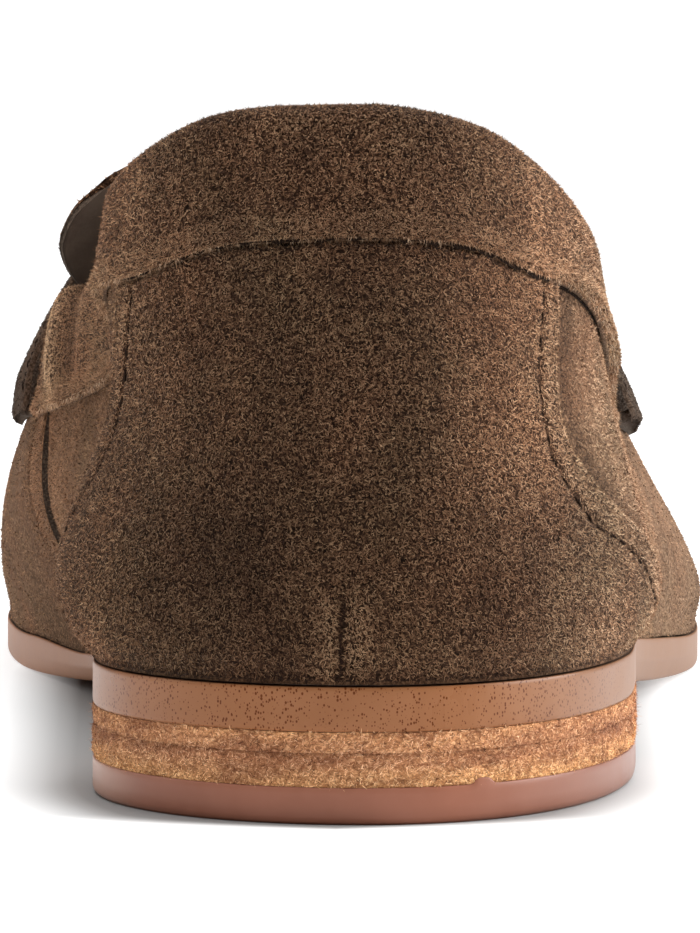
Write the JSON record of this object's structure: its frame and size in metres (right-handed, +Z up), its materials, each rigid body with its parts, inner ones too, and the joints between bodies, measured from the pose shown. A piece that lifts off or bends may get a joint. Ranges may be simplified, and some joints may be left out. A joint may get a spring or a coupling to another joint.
{
  "type": "tassel loafer",
  "caption": "Right-foot brown suede slip-on shoe with a folded collar band, heel counter panel, instep strap with tassels and a low stacked leather heel.",
  "frame": {"origin": "on the floor under the middle of the shoe's bounding box", "axes": "+X to the lateral (outer) side of the right foot, +Y from heel to toe, +Z up from the floor"},
  "size_m": [0.0994, 0.2942, 0.0816],
  "materials": {
    "suede": "brown napped suede",
    "lining": "dark brown smooth lining leather",
    "leather_edge": "tan sole leather, smooth edge with dark specks",
    "stacked_leather": "rough cut edge of stacked heel leather",
    "rubber": "smooth reddish-brown heel rubber"
  },
  "bodies": {
    "root": {"outsole": "leather_edge", "heel_lift_upper": "stacked_leather", "heel_lift_lower": "stacked_leather", "heel_top_piece": "rubber", "insole": "lining", "upper": "suede", "counter_panel": "suede", "collar_band": "suede", "tongue": "suede", "saddle_strap": "suede", "tassel_knot": "suede", "tassel_lateral": "suede", "tassel_medial": "suede"}
  },
  "joints": []
}
